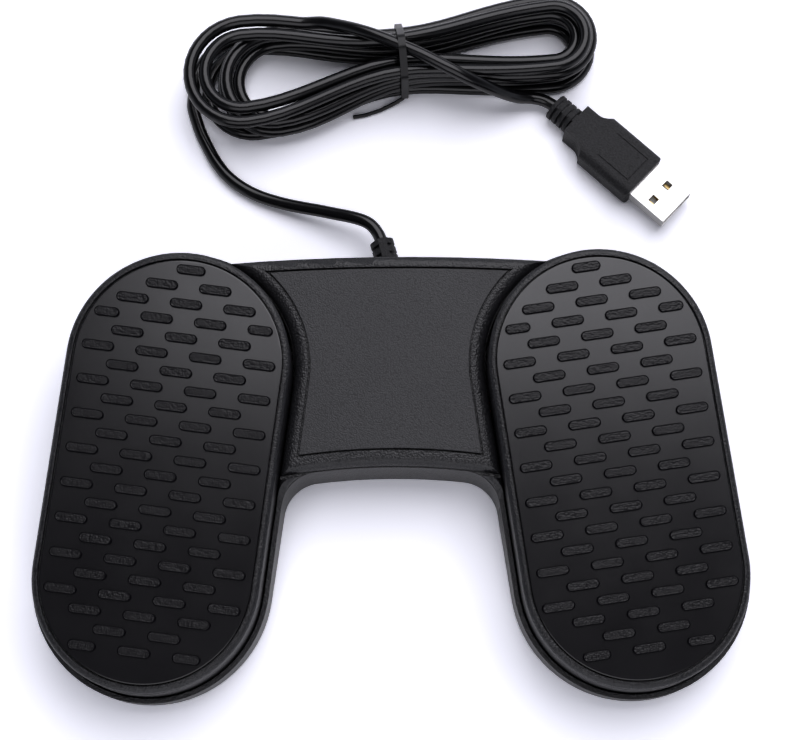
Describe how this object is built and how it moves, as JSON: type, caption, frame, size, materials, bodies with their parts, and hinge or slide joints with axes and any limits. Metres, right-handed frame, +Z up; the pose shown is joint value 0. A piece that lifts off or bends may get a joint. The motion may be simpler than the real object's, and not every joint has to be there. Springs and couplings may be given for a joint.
{
  "type": "foot pedal switch",
  "caption": "Black twin foot pedal switch: splayed sprung stadium pedals with barred grip pads on a U-shaped base, a bridge with an inset panel, a hanked cord and its plug.",
  "frame": {"origin": "on the floor under the middle of the base, without the cord", "axes": "+Z up, +Y to the rear where the cord leaves, X across from the left pedal to the right one"},
  "size_m": [0.1846, 0.1971, 0.0343],
  "materials": {
    "textured_plastic": "leather-grained moulding",
    "panel_plastic": "fine spark-eroded grain",
    "pad_rubber": "moulded grip pad",
    "plate_plastic": "plain moulding",
    "foot_rubber": "matt rubber",
    "steel": "zinc plated",
    "switch_plastic": "phenolic moulding",
    "button_plastic": "plain",
    "contact_brass": "plated",
    "board": "solder mask",
    "white_plastic": "nylon",
    "lead_plastic": "wire insulation",
    "cord_plastic": "satin jacket",
    "grip_plastic": "overmould",
    "plug_metal": "nickel plated"
  },
  "bodies": {
    "base": {"base_housing": "textured_plastic", "bottom_plate": "plate_plastic", "bridge_panel": "panel_plastic", "bottom_screws": "steel", "rubber_feet": "foot_rubber", "left_hinge_pin": "steel", "right_hinge_pin": "steel", "left_return_spring": "steel", "right_return_spring": "steel", "left_bumpers": "foot_rubber", "right_bumpers": "foot_rubber", "left_switch_body": "switch_plastic", "right_switch_body": "switch_plastic", "switch_terminals": "contact_brass", "switch_screws": "steel", "circuit_board": "board", "controller_chip": "switch_plastic", "board_connectors": "white_plastic", "board_screws": "steel", "left_switch_leads": "lead_plastic", "right_switch_leads": "lead_plastic", "cable_clamp": "plate_plastic", "clamp_screws": "steel", "inner_cable": "cord_plastic", "cable_strain_relief": "grip_plastic", "cable_lead": "cord_plastic", "cable_hank": "cord_plastic", "cable_tail": "cord_plastic", "cable_tie": "cord_plastic", "plug_grip": "grip_plastic", "plug_shell": "plug_metal", "plug_insulator": "white_plastic", "plug_contacts": "contact_brass"},
    "left_pedal": {"left_pedal": "textured_plastic", "left_pad": "pad_rubber"},
    "right_pedal": {"right_pedal": "textured_plastic", "right_pad": "pad_rubber"},
    "left_button": {"left_switch_button": "button_plastic"},
    "right_button": {"right_switch_button": "button_plastic"}
  },
  "joints": [
    {"name": "left_press", "type": "hinge", "parent": "base", "child": "left_pedal", "pos_m": [-0.06342, -0.03912, 0.0085], "axis": [-0.9903, 0.1392, 0], "range_deg": [0, 3.5], "stiffness_Nm_per_rad": 8, "springref_deg": -4.58, "deforming": ["left_return_spring"]},
    {"name": "right_press", "type": "hinge", "parent": "base", "child": "right_pedal", "pos_m": [0.06342, -0.03912, 0.0085], "axis": [-0.9903, -0.1392, 0], "range_deg": [0, 3.5], "stiffness_Nm_per_rad": 8, "springref_deg": -4.58, "deforming": ["right_return_spring"]},
    {"name": "left_button_slide", "type": "slide", "parent": "base", "child": "left_button", "axis": [0, 0, -1], "range_m": [0, 0.0018]},
    {"name": "right_button_slide", "type": "slide", "parent": "base", "child": "right_button", "axis": [0, 0, -1], "range_m": [0, 0.0018]}
  ],
  "couplings": [
    {"joint": "left_button_slide", "follows": "left_press", "m_per_rad": 0.024},
    {"joint": "right_button_slide", "follows": "right_press", "m_per_rad": 0.024}
  ]
}
